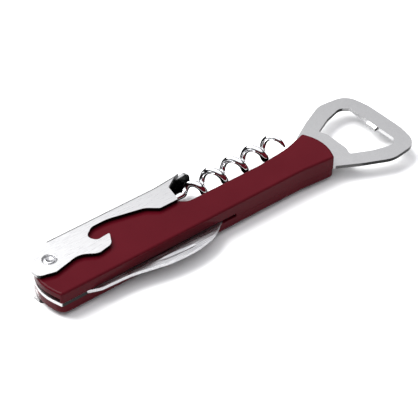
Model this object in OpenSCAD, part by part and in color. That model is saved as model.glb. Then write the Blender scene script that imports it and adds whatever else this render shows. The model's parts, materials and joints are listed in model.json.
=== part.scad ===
// Waiter's corkscrew: a two-scale handle on a steel frame plate that ends in a crown-cap opener,
// a folding U-channel lever, a folding worm and a folding foil knife.
// Design frame: X runs from the lever rivet towards the opener, Y towards the lever's closed back,
// and Z is zero at the handle's mid-plane. Every node is then set on its own bounding-box base.

/* [Handle] */
// Thickness of the handle over both scales
handle_t = 8.8; // [7:0.1:10]
// Half width of the narrow grip, front side
grip_front = 7.1; // [6.5:0.1:8]
// Y of the narrow grip's back edge, beside the folded worm
grip_back = 4.4; // [4:0.1:5]
// Y of the wide end's back edge, under the lever
wide_back = 14; // [13.6:0.1:14.6]
// X of the handle's end at the opener
handle_end = 108.3; // [108:0.1:109]

/* [Frame plate and opener] */
// Thickness of the steel frame plate
plate_t = 1.3; // [1:0.1:1.6]
// Z of the frame plate's upper face
plate_top = 0.4; // [0:0.1:1]
// X of the opener loop's far edge
opener_end = 139.5; // [139:0.1:141]
// Y offset of the opener loop's centre line
opener_y = 1.2; // [0:0.1:1.4]
// Width of the tooth that lifts the cap
tooth_w = 4.6; // [4:0.1:7]

/* [Lever] */
// Sheet thickness of the lever channel
sheet_t = 1.2; // [1:0.1:1.5]
// Gap between the handle and each cheek
cheek_gap = 0.25; // [0.2:0.05:0.4]
// Outer bend radius of the channel
bend_r = 2; // [1.6:0.1:2.4]
// Outward flare of the channel's free end, in degrees
flare = 5.5; // [0:0.5:7]
// Opening angle of the lever, zero is closed
lever_angle = 0; // [0:5:140]

/* [Worm] */
// Pitch of the worm
pitch = 9.33; // [9:0.05:9.6]
// Radius of the worm's centre line
coil_r = 2.95; // [2.6:0.05:3.05]
// Radius of the worm's wire
wire_r = 1.2; // [1:0.05:1.3]
// Opening angle of the worm, zero is folded
worm_angle = 0; // [0:5:91]

/* [Knife] */
// Thickness of the blade
blade_t = 1.2; // [0.9:0.05:1.2]
// Opening angle of the blade, zero is folded
knife_angle = 0; // [0:5:100]

/* [Hidden] */
$fn = 64;
eps = 0.5;

// Colours of the finishes
burgundy = [0.36, 0.09, 0.13];
satin = [0.78, 0.78, 0.79];
bright = [0.86, 0.87, 0.89];
brushed = [0.72, 0.73, 0.74];

// Heights of the layers
half_t = handle_t / 2;
plate_bottom = plate_top - plate_t;
plate_mid = plate_top - plate_t / 2;
skirt = 0.9;
cheek_in = half_t + cheek_gap;
cheek_out = cheek_in + sheet_t;
web_out = 16.4;
web_in = web_out - sheet_t;
channel_depth = 20;
flare_x = 47;
tongue_end = 63;

// Pivots
rivet_at = [0, 7.47];
rivet_r = 1.9;
rivet_head_r = 2.5;
head_t = 0.45;
bush_r = 2.9;
knife_at = [10.5, -3.2];
knife_pin_r = 1.1;
knife_pocket_r = 7.6;
hub_at = [44, 11.8];
hub_r = 2.4;
hub_h = 4.4;
hub_pin_r = 1.25;
hub_slot_h = 5;
run_gap = 0.05;

// Knife slot and spring
slot_end = 64;
slot_back = 1.2;
spring_pin_at = [60, -1];
spring_pin_r = 0.9;

// Worm sweep
worm_tilt = 2.2;
shank_start = 1.75;
coil_start = 11;
coil_full = 19;
wire_sides = 12;
ring_step = 20;
taper_turn = 200;
point_r = 0.12;

// Hidden pins that hold the scales to the plate
scale_pin_r = 1.2;
scale_pin_at = [[30, 7], [74, -1.5], [98, 0]];
scale_pin_span = [-3, 2.6];

// ---- outline helpers ----
function unit(v) = v / norm(v);
function wrap(a) = a > 180 ? a - 360 : a < -180 ? a + 360 : a;
function xy(p) = [p[0], p[1]];

// The arc that rounds corner b, between a and c, with radius r
function corner_arc(a, b, c, r) =
    let (u = unit(a - b), v = unit(c - b))
    let (half = acos(u * v) / 2)
    let (centre = b + unit(u + v) * r / sin(half))
    let (from = b + u * r / tan(half) - centre, to = b + v * r / tan(half) - centre)
    let (start = atan2(from[1], from[0]), sweep = wrap(atan2(to[1], to[0]) - start))
    let (steps = max(2, ceil(abs(sweep) / 10)))
    [for (i = [0:steps]) centre + r * [cos(start + sweep * i / steps), sin(start + sweep * i / steps)]];

// A closed outline from corners [x, y, radius]
function rounded(corners) =
    let (n = len(corners))
    [for (i = [0:n - 1])
        let (a = xy(corners[(i + n - 1) % n]), b = xy(corners[i]), c = xy(corners[(i + 1) % n]))
        each (corners[i][2] > 0 ? corner_arc(a, b, c, corners[i][2]) : [b])];

function flipped(list) = [for (i = [len(list) - 1:-1:0]) list[i]];

function mirrored(corners, about) =
    [for (c = flipped(corners)) [c[0], 2 * about - c[1], c[2]]];

// ---- outlines ----

// The handle in plan, with the radii of its front, back and opener-end corners
function handle_outline(front_r, back_r, end_r) = rounded([
    [-5.4, -grip_front + 0.2, front_r],
    [92, -grip_front - 0.05, 60],
    [106.2, -8.4, end_r],
    [handle_end + 2, 0.1, 15],
    [106.2, 8.4, end_r],
    [97, 5.6, 25],
    [84, grip_back - 0.1, 40],
    [51, grip_back, 5],
    [47.5, wide_back, 1.5],
    [-1.9, wide_back, back_r],
    [-9.1, 4.4, 16],
]);
handle_line = handle_outline(1, 2, 1);
lower_line = handle_outline(3.6, 3, 2.2);

// Half of the opener loop on the +Y side, outside and inside
loop_out = [
    [106.6, 11.3, 0.5],
    [115, 16, 30],
    [125.2, 20.7, 9.5],
    [137.4, 19.3, 6.5],
    [opener_end, 9.6, 20],
];
loop_in = [
    [116.3, opener_y + 5.1, 0.6],
    [115, opener_y + 8, 0.8],
    [122.5, opener_y + 11.6, 12],
    [130, opener_y + 13.7, 3],
    [133.1, opener_y + 11.3, 1],
];
loop_far_in = loop_in[4][0];
tooth_y = opener_y - 0.6;

opener_line = rounded(concat(
    [[104.9, -6.4, 0], [106.4, -8.7, 0]],
    mirrored(flipped(loop_out), opener_y),
    flipped(loop_out),
    [[106.4, 10.2, 0], [104.9, 6.4, 0]]
));
opening_line = rounded(concat(loop_in, mirrored(loop_in, opener_y)));

cheek_line = rounded([
    [4, web_out + 3, 0],
    [3.7, 13.5, 0.6],
    [-2, 12.9, 3],
    [-7.7, 8, 3],
    [-7, 3, 1.8],
    [-1.5, 1.4, 2.5],
    [8.6, 3.7, 6],
    [13.8, 0.2, 3.5],
    [19.6, 1.3, 3],
    [22.2, 6.1, 0.4],
    [17, 5.6, 2],
    [15, 9, 2.2],
    [19.2, 12, 3.5],
    [25.2, 12.1, 14],
    [38.3, 8.9, 5],
    [42.2, 5.7, 0.8],
    [49.6, 5.7, 0.8],
    [50.9, 12.6, 0.6],
    [61.8, web_out + 3, 0],
]);
cheek_tip = min([for (p = cheek_line) p[0]]);

blade_line = rounded([
    [4, -6.6, 0.5],
    [8.6, -8.4, 6],
    [19.5, -9, 30],
    [33, -12.3, 30],
    [42, -12.9, 25],
    [51.5, -11.4, 15],
    [59.6, -5.7, 0.2],
    [50, -3.6, 25],
    [17.3, -3.6, 0.5],
    [16.6, -2.2, 0.6],
    [13.6, 0.4, 2.4],
    [7.4, 0.4, 2.4],
    [3.5, -4.2, 1.5],
]);

spring_line = rounded([
    [17.6, -2.6, 0.4],
    [62.6, -2.9, 1.2],
    [62.6, 0.9, 1.2],
    [50, 0.8, 20],
    [17.6, -0.7, 0.6],
]);

// Everything is set down with its box centred on X and Y and its base at Z = 0
origin = [
    (cheek_tip + opener_end) / 2,
    opener_y,
    -cheek_out,
];

module set_down() {
    translate(-origin) children();
}

module swing(at, angle) {
    translate([at[0], at[1], 0]) rotate([0, 0, angle]) translate([-at[0], -at[1], 0]) children();
}

module slab(line, low, high) {
    translate([0, 0, low]) linear_extrude(high - low) polygon(line);
}

module post(at, r, low, high) {
    translate([at[0], at[1], low]) cylinder(h = high - low, r = r);
}

module pair() {
    children();
    mirror([0, 0, 1]) children();
}

// ---- cut-outs shared by the scales and the plate ----
module knife_pocket(low, high) {
    post(knife_at, knife_pocket_r, low, high);
    translate([knife_at[0], -grip_front - 2, low])
        cube([slot_end - knife_at[0], grip_front + 2 + slot_back, high - low]);
}

module worm_pocket(low, high) {
    translate([hub_at[0] - 3, hub_at[1] - 3.2, low]) cube([8, 8, high - low]);
}

// The plate inside the handle: flush at the blunt end, set in by the skirt elsewhere
module plate_in_handle(low, high) {
    intersection() {
        slab(handle_line, low, high);
        union() {
            translate([-10, -10, low - eps]) cube([14, wide_back + 10 - skirt, high - low + 2 * eps]);
            translate([3, skirt - grip_front, low - eps])
                cube([120, grip_back + grip_front - 2 * skirt, high - low + 2 * eps]);
            translate([3, 0, low - eps]) cube([43, wide_back - skirt, high - low + 2 * eps]);
        }
    }
}

module scale_pin_holes() {
    for (at = scale_pin_at) post(at, scale_pin_r, scale_pin_span[0], scale_pin_span[1]);
}

module handle_cuts() {
    scale_pin_holes();
    post(rivet_at, bush_r, -half_t - eps, half_t + eps);
    post(knife_at, knife_pin_r, -3.2, 3);
    post(spring_pin_at, spring_pin_r, -2.6, 2.2);
    post(hub_at, hub_pin_r, -half_t - eps, half_t + eps);
    worm_pocket(-hub_slot_h / 2, hub_slot_h / 2);
}

// ---- handle ----
module top_scale() {
    color(burgundy) set_down() difference() {
        slab(handle_line, plate_bottom, half_t);
        plate_in_handle(plate_bottom - eps, plate_top);
        slab(opener_line, plate_bottom - eps, plate_top);
        knife_pocket(plate_bottom - eps, plate_top);
        translate([-10, 1 - grip_front, plate_top - eps]) cube([8.5, 18.6, 1.6 + eps]);
        handle_cuts();
    }
}

module bottom_scale() {
    color(burgundy) set_down() difference() {
        slab(lower_line, -half_t, plate_bottom);
        handle_cuts();
    }
}

module opener_plate() {
    color(satin) set_down() {
        difference() {
            union() {
                plate_in_handle(plate_bottom, plate_top);
                slab(opener_line, plate_bottom, plate_top);
            }
            slab(opening_line, plate_bottom - eps, plate_top + eps);
            knife_pocket(plate_bottom - eps, plate_top + eps);
            handle_cuts();
        }
        cap_tooth();
    }
}

// The tab bent down from the loop's far inner edge
module cap_tooth() {
    translate([0, tooth_y + tooth_w / 2, 0]) rotate([90, 0, 0]) linear_extrude(tooth_w) polygon([
        [loop_far_in + 0.4, plate_top],
        [loop_far_in - 0.2, plate_top - 0.1],
        [loop_far_in - 1, plate_top - 0.5],
        [loop_far_in - 1.2, plate_top - 1.6],
        [loop_far_in - 0.3, plate_bottom - 0.1],
        [loop_far_in + 0.4, plate_bottom],
    ]);
}

module scale_pins() {
    color(brushed) set_down() scale_pin_holes();
}

// ---- knife ----
module knife_spring() {
    color(brushed) set_down() difference() {
        slab(spring_line, plate_bottom + 0.05, plate_top - 0.05);
        post(spring_pin_at, spring_pin_r, -half_t, half_t);
    }
}

module spring_pin() {
    color(brushed) set_down() post(spring_pin_at, spring_pin_r, -2.6, 2.2);
}

// The grind tapers both flats towards the cutting edge
module blade_grind() {
    edge_y = -3.5;
    grind_y = -9.2;
    for (side = [-1, 1])
        translate([0, 0, plate_mid]) rotate([90, 0, 90]) translate([0, 0, 18.5]) linear_extrude(60) polygon([
            [edge_y + 1, side * 0.12],
            [edge_y, side * 0.12],
            [grind_y, side * blade_t / 2],
            [grind_y, side * blade_t],
            [edge_y + 1, side * blade_t],
        ]);
}

// A crescent groove for the thumb nail, near the spine
module nail_nick() {
    ring_r = 56;
    cut_r = 1.2;
    depth = 0.45;
    translate([37, -10.2, plate_mid + blade_t / 2 - depth + ring_r + cut_r]) rotate([90, 0, -5])
        rotate_extrude() translate([ring_r, 0, 0]) circle(cut_r);
}

module blade() {
    color(bright) set_down() swing(knife_at, -knife_angle) difference() {
        slab(blade_line, plate_mid - blade_t / 2, plate_mid + blade_t / 2);
        blade_grind();
        nail_nick();
        post(knife_at, knife_pin_r + run_gap, -half_t, half_t);
    }
}

module blade_pin() {
    color(brushed) set_down() post(knife_at, knife_pin_r, -3.2, 3);
}

// ---- lever ----
module lever_bush() {
    color(brushed) set_down() difference() {
        post(rivet_at, bush_r, -half_t, half_t);
        post(rivet_at, rivet_r, -cheek_out, cheek_out);
    }
}

// A rivet peened flush into both cheeks, with a dished centre
module lever_rivet() {
    color(bright) set_down() difference() {
        union() {
            post(rivet_at, rivet_r, -cheek_out, cheek_out);
            pair() post(rivet_at, rivet_head_r, cheek_out - head_t, cheek_out);
        }
        pair() translate([rivet_at[0], rivet_at[1], cheek_out + 1.6]) sphere(r = 2);
    }
}

module lever_washers() {
    color(brushed) set_down() pair() difference() {
        post(rivet_at, 4, half_t, cheek_in);
        post(rivet_at, rivet_r, half_t - eps, cheek_in + eps);
    }
}

// One straight length of the folded channel, open towards -Y
module channel(from, to) {
    translate([from, 0, 0]) rotate([90, 0, 90]) linear_extrude(to - from) difference() {
        polygon(rounded([
            [web_out, cheek_out, bend_r],
            [web_out, -cheek_out, bend_r],
            [web_out - channel_depth, -cheek_out, 0],
            [web_out - channel_depth, cheek_out, 0],
        ]));
        polygon(rounded([
            [web_in, cheek_in, bend_r - sheet_t],
            [web_in, -cheek_in, bend_r - sheet_t],
            [web_in - channel_depth, -cheek_in, 0],
            [web_in - channel_depth, cheek_in, 0],
        ]));
    }
}

module lever_tongue() {
    translate([0, web_out, 0]) rotate([90, 0, 0]) linear_extrude(sheet_t) polygon(rounded([
        [flare_x + 6, -3.6, 0],
        [tongue_end, -3.6, 2.6],
        [tongue_end, 3.6, 2.6],
        [flare_x + 6, 3.6, 0],
    ]));
}

module lever() {
    color(satin) set_down() swing(rivet_at, lever_angle) difference() {
        union() {
            intersection() {
                union() {
                    channel(-20, flare_x);
                    swing([flare_x, web_out], flare) channel(flare_x - 2, flare_x + 30);
                }
                slab(cheek_line, -cheek_out, cheek_out);
            }
            swing([flare_x, web_out], flare) lever_tongue();
        }
        post(rivet_at, rivet_r + run_gap, -cheek_out - eps, cheek_out + eps);
        pair() post(rivet_at, rivet_head_r + run_gap, cheek_out - head_t - run_gap, cheek_out + eps);
    }
}

// ---- worm ----
function ease(t) = let (s = min(1, max(0, t))) s * s * (3 - 2 * s);

// Centre line at distance x from the hub pivot, the coil growing out of the straight shank
function coil_angle(x) = 360 * (x - coil_start) / pitch + coil_phase;
function coil_point(x) =
    let (r = coil_r * ease((x - coil_start) / (coil_full - coil_start)))
    [x, r * cos(coil_angle(x)), r * sin(coil_angle(x))];
worm_length = 56.9;
last_apex = 51.8;
coil_phase = -360 * (last_apex - coil_start) / pitch;
function wire_radius(x) =
    let (turn_left = 360 * (worm_length - x) / pitch)
    point_r + (wire_r - point_r) * min(1, sqrt(max(0, turn_left) / taper_turn));

step_x = pitch * ring_step / 360;
coil_steps = ceil((worm_length - coil_start) / step_x);
worm_stations = concat(
    [shank_start, (shank_start + coil_start) / 2],
    [for (i = [0:coil_steps]) coil_start + (worm_length - coil_start) * i / coil_steps]
);

function ring(x) =
    let (t = unit(coil_point(x + 0.01) - coil_point(x - 0.01)))
    let (n = unit([0, 0, 1] - t * t[2]), b = cross(t, n))
    [for (k = [0:wire_sides - 1])
        let (a = 360 * k / wire_sides)
        coil_point(x) + wire_radius(x) * (cos(a) * n + sin(a) * b)];

module worm() {
    rings = len(worm_stations);
    points = [for (x = worm_stations) each ring(x)];
    walls = [for (i = [0:rings - 2], k = [0:wire_sides - 1])
        let (a = i * wire_sides + k, b = i * wire_sides + (k + 1) % wire_sides)
        [a, b, b + wire_sides, a + wire_sides]];
    caps = [
        [for (k = [wire_sides - 1:-1:0]) k],
        [for (k = [0:wire_sides - 1]) (rings - 1) * wire_sides + k],
    ];
    color(bright) set_down() swing(hub_at, worm_angle) translate([hub_at[0], hub_at[1], 0])
        rotate([0, 0, worm_tilt]) polyhedron(points, concat(walls, caps), convexity = 10);
}

// The barrel that the worm's shank is pressed into
module worm_hub() {
    color(bright) set_down() swing(hub_at, worm_angle) translate([hub_at[0], hub_at[1], 0])
        rotate([0, 0, worm_tilt]) difference() {
            cylinder(h = hub_h, r = hub_r, center = true);
            cylinder(h = hub_h + 1, r = hub_pin_r + run_gap, center = true);
            translate([shank_start, 0, 0]) rotate([0, 90, 0]) cylinder(h = 3, r = wire_r);
        }
}

module worm_pin() {
    color(brushed) set_down() post(hub_at, hub_pin_r, -half_t, half_t);
}

module hub_washers() {
    color(brushed) set_down() pair() difference() {
        post(hub_at, hub_r, hub_h / 2 + 0.05, hub_slot_h / 2);
        post(hub_at, hub_pin_r, 0, half_t);
    }
}

top_scale();
bottom_scale();
opener_plate();
scale_pins();
knife_spring();
spring_pin();
blade();
blade_pin();
lever_bush();
lever_rivet();
lever_washers();
lever();
worm();
worm_hub();
worm_pin();
hub_washers();
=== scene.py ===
"""Waiter's corkscrew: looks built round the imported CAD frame.

Lengths are in metres. `at(x, y, z)` takes millimetres in the design frame, whose X and Z start at the
lever rivet's centre and whose Y starts on the handle's own centre line.
"""
import json
import math

import bmesh
import bpy
from mathutils import Matrix, Vector


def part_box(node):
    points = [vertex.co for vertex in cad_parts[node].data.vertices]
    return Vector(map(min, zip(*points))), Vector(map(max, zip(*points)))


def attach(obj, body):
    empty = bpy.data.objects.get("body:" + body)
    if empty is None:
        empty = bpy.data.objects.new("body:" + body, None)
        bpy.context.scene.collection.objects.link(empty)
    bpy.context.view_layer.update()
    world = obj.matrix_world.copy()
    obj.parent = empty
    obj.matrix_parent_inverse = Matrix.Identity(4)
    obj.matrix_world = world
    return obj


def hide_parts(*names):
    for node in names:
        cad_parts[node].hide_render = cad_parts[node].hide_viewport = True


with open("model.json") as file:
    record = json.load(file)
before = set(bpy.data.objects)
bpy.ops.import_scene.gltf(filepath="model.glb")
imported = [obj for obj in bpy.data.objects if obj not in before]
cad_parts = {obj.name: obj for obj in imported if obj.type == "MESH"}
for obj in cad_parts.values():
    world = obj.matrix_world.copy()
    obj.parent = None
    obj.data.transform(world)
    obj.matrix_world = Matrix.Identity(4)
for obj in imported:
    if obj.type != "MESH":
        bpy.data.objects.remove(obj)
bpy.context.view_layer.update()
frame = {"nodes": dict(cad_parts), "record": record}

MM = 0.001
RIVET_Y = 7.47


def middle(node):
    low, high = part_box(node)
    return (low + high) / 2


def at(x, y, z=0.0):
    """A design-frame point, in millimetres, as a row-frame point in metres."""
    return middle("lever_rivet") + Vector((x, y - RIVET_Y, z)) * MM


# ---------------------------------------------------------------- camera
CAMERA_AZIMUTH = 38.76
CAMERA_ELEVATION = 40.05
CAMERA_DISTANCE = 0.4973
CAMERA_LENS = 129.2
CAMERA_TARGET = at(58.63, 0.735)


def make_camera():
    az, el = math.radians(CAMERA_AZIMUTH), math.radians(CAMERA_ELEVATION)
    forward = Vector((math.sin(az) * math.cos(el), math.cos(az) * math.cos(el), -math.sin(el)))
    camera = bpy.data.objects.new("camera", bpy.data.cameras.new("camera"))
    bpy.context.scene.collection.objects.link(camera)
    camera.location = CAMERA_TARGET - forward * CAMERA_DISTANCE
    camera.rotation_euler = forward.to_track_quat("-Z", "Y").to_euler()
    camera.data.sensor_width = 36
    camera.data.lens = CAMERA_LENS
    camera.data.clip_start = 0.01
    camera.data.dof.use_dof = False
    bpy.context.scene.camera = camera


# ---------------------------------------------------------------- materials
GRAIN_DEPTH = 0.04 * MM
PEEL_DEPTH = 0.05 * MM
# the near-black of the painted dark reflections and painted shade on the steel faces turned to the
# front
NEAR_BLACK = (0.02, 0.02, 0.02, 1)


def shader_material(name, **sockets):
    """A material whose Principled shader has these values set on its own sockets."""
    mat = bpy.data.materials.new(name)
    mat.use_nodes = True
    shader = mat.node_tree.nodes["Principled BSDF"]
    for key, value in sockets.items():
        shader.inputs[key.replace("_", " ").title().replace("Ior", "IOR")].default_value = value
    return mat, mat.node_tree, shader


def grain(tree, stretch, scale, detail=6.0):
    """Noise over the object's own coordinates, stretched along the axes."""
    coords = tree.nodes.new("ShaderNodeTexCoord")
    mapping = tree.nodes.new("ShaderNodeMapping")
    mapping.inputs["Scale"].default_value = stretch
    noise = tree.nodes.new("ShaderNodeTexNoise")
    noise.inputs["Scale"].default_value = scale
    noise.inputs["Detail"].default_value = detail
    tree.links.new(coords.outputs["Object"], mapping.inputs["Vector"])
    tree.links.new(mapping.outputs["Vector"], noise.inputs["Vector"])
    return noise


def spread(tree, noise, low, high):
    """The noise mapped to the range low..high."""
    ranged = tree.nodes.new("ShaderNodeMapRange")
    ranged.inputs["From Min"].default_value = 0.3
    ranged.inputs["From Max"].default_value = 0.7
    ranged.inputs["To Min"].default_value = low
    ranged.inputs["To Max"].default_value = high
    tree.links.new(noise.outputs["Fac"], ranged.inputs["Value"])
    return ranged.outputs["Result"]


def tint(tree, noise, dark, light):
    """The noise as a colour between dark and light."""
    ramp = tree.nodes.new("ShaderNodeValToRGB")
    ramp.color_ramp.elements[0].position = 0.3
    ramp.color_ramp.elements[0].color = (*dark, 1)
    ramp.color_ramp.elements[1].position = 0.7
    ramp.color_ramp.elements[1].color = (*light, 1)
    tree.links.new(noise.outputs["Fac"], ramp.inputs["Fac"])
    return ramp.outputs["Color"]


def bump(tree, shader, noise, strength, distance):
    node = tree.nodes.new("ShaderNodeBump")
    node.inputs["Strength"].default_value = strength
    node.inputs["Distance"].default_value = distance
    tree.links.new(noise.outputs["Fac"], node.inputs["Height"])
    tree.links.new(node.outputs["Normal"], shader.inputs["Normal"])


def lacquer():
    """Deep burgundy gloss, with a faint orange peel and a slow colour drift."""
    mat, tree, shader = shader_material("burgundy_lacquer", roughness=0.2, specular_ior_level=0.05)
    drift = grain(tree, (1, 1, 1), 60, 3)
    tree.links.new(tint(tree, drift, (0.055, 0.0022, 0.0056), (0.063, 0.0030, 0.0068)),
                   shader.inputs["Base Color"])
    peel = grain(tree, (1, 1, 1), 1400, 2)
    tree.links.new(spread(tree, peel, 0.16, 0.24), shader.inputs["Roughness"])
    bump(tree, shader, peel, 0.05, PEEL_DEPTH)
    return mat


def steel(name, dark, light, rough, stretch, scale, strength=0.12):
    """Metal with a directional grain in its colour, roughness and surface."""
    mat, tree, shader = shader_material(name, metallic=1.0)
    lines = grain(tree, stretch, scale, 8)
    tree.links.new(tint(tree, lines, dark, light), shader.inputs["Base Color"])
    tree.links.new(spread(tree, lines, *rough), shader.inputs["Roughness"])
    bump(tree, shader, lines, strength, GRAIN_DEPTH)
    return mat


def paint_shade_and_reflection_facing(mat, direction, start, full):
    """Paints near-black onto the faces turned towards a direction of the part: painted dark
    reflections and painted shade, standing in for the dark surroundings those faces would mirror and
    the shadow they would lie in.
    """
    tree, shader = mat.node_tree, mat.node_tree.nodes["Principled BSDF"]
    clean = shader.inputs["Base Color"].links[0].from_socket
    coords = tree.nodes.new("ShaderNodeTexCoord")
    facing = tree.nodes.new("ShaderNodeVectorMath")
    facing.operation = "DOT_PRODUCT"
    facing.inputs[1].default_value = direction
    amount = tree.nodes.new("ShaderNodeMapRange")
    amount.inputs["From Min"].default_value = start
    amount.inputs["From Max"].default_value = full
    mix = tree.nodes.new("ShaderNodeMix")
    mix.data_type = "RGBA"
    mix.inputs["B"].default_value = NEAR_BLACK
    tree.links.new(coords.outputs["Normal"], facing.inputs[0])
    tree.links.new(facing.outputs["Value"], amount.inputs["Value"])
    tree.links.new(amount.outputs["Result"], mix.inputs["Factor"])
    tree.links.new(clean, mix.inputs["A"])
    tree.links.new(mix.outputs["Result"], shader.inputs["Base Color"])
    return mat


def make_materials():
    plate = steel("satin_plate", (0.50, 0.50, 0.50), (0.56, 0.56, 0.56), (0.30, 0.38), (1, 1, 1), 2500)
    lever = steel("satin_lever", (0.60, 0.60, 0.60), (0.64, 0.64, 0.64), (0.26, 0.32),
                  (0.08, 1, 1), 3000, strength=0.05)
    worm = steel("worm_chrome", (0.86, 0.87, 0.88), (0.92, 0.93, 0.94), (0.04, 0.09),
                 (1, 1, 1), 700, strength=0.02)
    blade = steel("brushed_blade", (0.36, 0.36, 0.37), (0.58, 0.58, 0.59), (0.2, 0.36),
                  (0.04, 1, 1), 2600)
    pin = steel("turned_steel", (0.34, 0.34, 0.35), (0.48, 0.48, 0.49), (0.2, 0.34),
                (1, 1, 0.1), 1800)
    return {
        "scale": lacquer(),
        # painted dark reflection and painted shade on the plate's faces turned to the front (-Y)
        "plate": paint_shade_and_reflection_facing(plate, (0, -1, 0), 0.6, 0.9),
        # painted dark reflection and painted contact shade on the lever's cut edges turned to the
        # front
        "lever": paint_shade_and_reflection_facing(lever, (-0.35, -0.94, 0), 0.3, 0.7),
        "worm": worm,
        "blade": blade,
        "pin": pin,
    }


# ---------------------------------------------------------------- mesh tools
SHARP = math.radians(32)
FLAT = math.radians(0.8)
WELD = 1e-6


def shade(bm):
    """Smooth faces, with the edges sharper than SHARP kept crisp."""
    for face in bm.faces:
        face.smooth = True
    for edge in bm.edges:
        edge.smooth = len(edge.link_faces) == 2 and edge.calc_face_angle(0) < SHARP


def make_piece(bm, name, body, slot, replaced=()):
    """A mesh piece that rides on a body, with the finish of a material slot."""
    mesh = bpy.data.meshes.new(name)
    bmesh.ops.recalc_face_normals(bm, faces=bm.faces)
    shade(bm)
    bm.to_mesh(mesh)
    bm.free()
    piece = bpy.data.objects.new(name, mesh)
    bpy.context.scene.collection.objects.link(piece)
    mesh.materials.append(MATERIALS[slot])
    piece.modifiers.new("even_shading", "WEIGHTED_NORMAL").keep_sharp = True
    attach(piece, body)
    if replaced:
        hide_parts(*replaced)
    return piece


def cad_copy(node):
    """The node's mesh, welded, with its flat faces joined."""
    bm = bmesh.new()
    bm.from_mesh(frame["nodes"][node].data)
    bmesh.ops.remove_doubles(bm, verts=bm.verts, dist=WELD)
    bmesh.ops.dissolve_limit(bm, angle_limit=FLAT, verts=bm.verts, edges=bm.edges)
    return bm


def soften(bm, width, segments, chosen=lambda edge: True, sharper=30):
    """Rounds the chosen edges that turn by more than `sharper` degrees."""
    limit = math.radians(sharper)
    edges = [e for e in bm.edges
             if len(e.link_faces) == 2 and e.calc_face_angle(0) > limit and chosen(e)]
    bmesh.ops.bevel(bm, geom=edges, offset=width, offset_type="OFFSET", segments=segments, profile=0.5,
                    affect="EDGES", clamp_overlap=True)


def level(edge, z, slack=1e-5):
    return all(abs(v.co.z - z) < slack for v in edge.verts)


def near(edge, node, reach):
    """Is the edge within `reach` of the axis through the node's middle?"""
    centre = middle(node)
    return all((v.co - centre).xy.length < reach for v in edge.verts)


# ---------------------------------------------------------------- handle
BUSH_REACH = 4 * MM
PIN_REACH = 2 * MM
SCALE_EASE = 0.12 * MM
TOP_FILLET = 0.8 * MM
BOTTOM_FILLET = 1.2 * MM


def handle_scale(node, rim, radius, segments):
    """A scale whose outer rim, at height `rim`, is rounded, and whose other edges are just eased."""
    bm = cad_copy(node)

    def at_bush(edge):
        return near(edge, "lever_rivet", BUSH_REACH)

    def on_rim(edge):
        return level(edge, rim) and not at_bush(edge) and not near(edge, "worm_pin", PIN_REACH)

    soften(bm, radius, segments, on_rim)
    soften(bm, SCALE_EASE, 1, lambda edge: not at_bush(edge), 60)
    return make_piece(bm, node + "_shell", "handle", "scale", [node])


def make_handle():
    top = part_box("top_scale")[1].z
    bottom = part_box("bottom_scale")[0].z
    handle_scale("top_scale", top, TOP_FILLET, 5)
    handle_scale("bottom_scale", bottom, BOTTOM_FILLET, 5)


# ---------------------------------------------------------------- eased metal parts
def eased(node, body, slot, width, segments=2, sharper=40):
    bm = cad_copy(node)
    soften(bm, width, segments, sharper=sharper)
    return make_piece(bm, node + "_eased", body, slot, [node])


# ---------------------------------------------------------------- worm
PITCH = 9.33 * MM
COIL_R = 2.95 * MM
WIRE_R = 1.2 * MM
POINT_R = 0.12 * MM
WORM_TILT = math.radians(2.2)
SHANK_START = 1.75 * MM
COIL_START = 11 * MM
COIL_FULL = 19 * MM
LAST_APEX = 51.8 * MM
WORM_LENGTH = 56.9 * MM
TAPER_TURN = 200
WIRE_SIDES = 24
RINGS_PER_TURN = 48


def ease(t):
    t = min(1, max(0, t))
    return t * t * (3 - 2 * t)


def coil_point(x):
    angle = 2 * math.pi * (x - LAST_APEX) / PITCH
    radius = COIL_R * ease((x - COIL_START) / (COIL_FULL - COIL_START))
    return Vector((x, radius * math.cos(angle), radius * math.sin(angle)))


def wire_radius(x):
    turn_left = 360 * max(0, WORM_LENGTH - x) / PITCH
    return POINT_R + (WIRE_R - POINT_R) * min(1, math.sqrt(turn_left / TAPER_TURN))


def sweep(points, radii, sides):
    """A closed tube through the points."""
    bm = bmesh.new()
    rings = []
    for i, (point, radius) in enumerate(zip(points, radii)):
        tangent = (points[min(i + 1, len(points) - 1)] - points[max(i - 1, 0)]).normalized()
        normal = (Vector((0, 0, 1)) - tangent * tangent.z).normalized()
        side = tangent.cross(normal)
        angles = [2 * math.pi * k / sides for k in range(sides)]
        rings.append([bm.verts.new(point + (normal * math.cos(a) + side * math.sin(a)) * radius)
                      for a in angles])
    for ring, following in zip(rings, rings[1:]):
        for k in range(sides):
            bm.faces.new((ring[k], ring[(k + 1) % sides], following[(k + 1) % sides], following[k]))
    bm.faces.new(rings[0][::-1])
    bm.faces.new(rings[-1])
    return bm


def make_worm():
    steps = math.ceil((WORM_LENGTH - COIL_START) / PITCH * RINGS_PER_TURN)
    stations = [SHANK_START, COIL_START / 2]
    stations += [COIL_START + (WORM_LENGTH - COIL_START) * i / steps for i in range(steps + 1)]
    bm = sweep([coil_point(x) for x in stations], [wire_radius(x) for x in stations], WIRE_SIDES)
    place = Matrix.Translation(middle("worm_hub")) @ Matrix.Rotation(WORM_TILT, 4, "Z")
    bmesh.ops.transform(bm, matrix=place, verts=bm.verts)
    make_piece(bm, "worm_wire", "worm", "worm", ["worm"])


# ---------------------------------------------------------------- lever rivet
RIVET_PROFILE = [  # radius and height above the cheek's face, in millimetres, from the centre out
    (0, -0.34), (0.35, -0.33), (0.7, -0.26), (0.95, -0.12), (1.1, -0.03), (1.25, 0),
    (1.5, -0.02), (1.7, -0.07), (1.82, -0.2), (1.9, -0.34), (2.02, -0.36), (2.15, -0.2),
    (2.28, -0.05), (2.4, -0.02), (2.47, -0.1), (2.5, -0.45), (1.9, -0.45),
]


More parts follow.
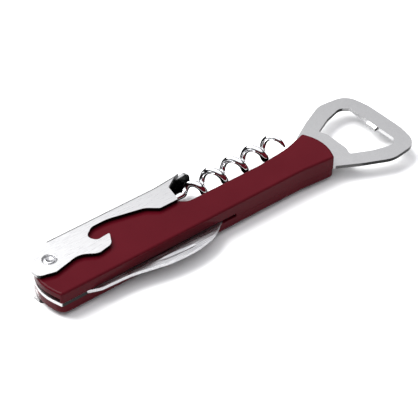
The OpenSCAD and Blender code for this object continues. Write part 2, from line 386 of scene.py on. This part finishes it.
def lathe(profile, sides=72):
    """A closed shape turned about Z from (radius, height) points that start and end on the axis."""
    bm = bmesh.new()
    rings = []
    for radius, height in profile:
        count = sides if radius > 0 else 1
        rings.append([bm.verts.new((radius * math.cos(2 * math.pi * k / sides),
                                    radius * math.sin(2 * math.pi * k / sides), height))
                      for k in range(count)])
    for ring, following in zip(rings, rings[1:]):
        for k in range(sides):
            corners = [ring[k % len(ring)], ring[(k + 1) % len(ring)],
                       following[(k + 1) % len(following)], following[k % len(following)]]
            unique = list(dict.fromkeys(corners))
            if len(unique) > 2:
                bm.faces.new(unique)
    return bm


def make_rivet():
    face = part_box("lever")[1].z - middle("lever").z
    upper = [(r * MM, face + z * MM) for r, z in RIVET_PROFILE]
    lower = [(r, -z) for r, z in reversed(upper)]
    bm = lathe(upper + lower)
    bmesh.ops.transform(bm, matrix=Matrix.Translation(middle("lever_rivet")), verts=bm.verts)
    make_piece(bm, "rivet_peened", "handle", "pin", ["lever_rivet"])


# ---------------------------------------------------------------- studio
FLOOR_SIZE = 6
KEY_PLACE = (-0.3, 0.65, 1.0)
KEY_SIZE = 1.1
KEY_POWER = 28
KEY_GLOSS = 0.3
SKY = [(0.0, 0.0), (0.45, 0.03), (0.6, 0.92), (0.8, 1.0), (1.0, 1.0)]  # height and brightness
SKY_STRENGTH = 1.3


def stage_plane(name, size):
    mesh = bpy.data.meshes.new(name)
    s = size / 2
    mesh.from_pydata([(-s, -s, 0), (s, -s, 0), (s, s, 0), (-s, s, 0)], [], [(0, 1, 2, 3)])
    plane = bpy.data.objects.new(name, mesh)
    bpy.context.scene.collection.objects.link(plane)
    return plane


def glossy_card(name, low, high, z):
    """A black card just over the floor that only reflections see, between two design-frame corners."""
    card = stage_plane(name, 1)
    low, high = at(*low), at(*high)
    card.scale = (high.x - low.x, high.y - low.y, 1)
    card.location = ((low.x + high.x) / 2, (low.y + high.y) / 2, z * MM)
    card.visible_camera = card.visible_diffuse = card.visible_shadow = False
    mat, _, _ = shader_material("black_card", base_color=(0, 0, 0, 1), roughness=1.0,
                                specular_ior_level=0.0)
    card.data.materials.append(mat)


def area_light(name, place, target, size, power):
    light = bpy.data.lights.new(name, "AREA")
    light.shape = "DISK"
    light.size = size
    light.energy = power
    light.specular_factor = KEY_GLOSS
    lamp = bpy.data.objects.new(name, light)
    bpy.context.scene.collection.objects.link(lamp)
    lamp.location = place
    lamp.rotation_euler = (Vector(target) - Vector(place)).to_track_quat("-Z", "Y").to_euler()


def make_world():
    """A dark horizon under a bright ceiling."""
    world = bpy.data.worlds.new("studio")
    bpy.context.scene.world = world
    world.use_nodes = True
    tree = world.node_tree
    background = tree.nodes["Background"]
    coords = tree.nodes.new("ShaderNodeTexCoord")
    split = tree.nodes.new("ShaderNodeSeparateXYZ")
    ramp = tree.nodes.new("ShaderNodeValToRGB")
    while len(ramp.color_ramp.elements) < len(SKY):
        ramp.color_ramp.elements.new(1.0)
    for element, (position, value) in zip(ramp.color_ramp.elements, SKY):
        element.position = position
        element.color = (value * 0.97, value * 0.97, value, 1)
    tree.links.new(coords.outputs["Generated"], split.inputs["Vector"])
    tree.links.new(split.outputs["Z"], ramp.inputs["Fac"])
    tree.links.new(ramp.outputs["Color"], background.inputs["Color"])
    background.inputs["Strength"].default_value = SKY_STRENGTH


def make_studio():
    floor = stage_plane("floor", FLOOR_SIZE)
    mat, _, shader = shader_material("floor_white", base_color=(0.9, 0.9, 0.9, 1), roughness=1.0,
                                     specular_ior_level=0.0)
    floor.data.materials.append(mat)
    area_light("key", KEY_PLACE, (0, 0, 0), KEY_SIZE, KEY_POWER)
    glossy_card("worm_flag", (55, 4.8), (112, 30), 0.4)
    make_world()
    bpy.context.scene.view_settings.view_transform = "Standard"


make_camera()
MATERIALS = make_materials()
make_handle()
eased("opener_plate", "handle", "plate", 0.14 * MM)
eased("lever", "lever", "lever", 0.16 * MM)
eased("blade", "knife", "blade", 0.08 * MM, sharper=50)
make_worm()
make_rivet()
for subpart in frame["record"]["subparts"]:
    mesh = frame["nodes"][subpart["node"]].data
    mesh.materials.clear()
    mesh.materials.append(MATERIALS[subpart["material_slot"]])
make_studio()
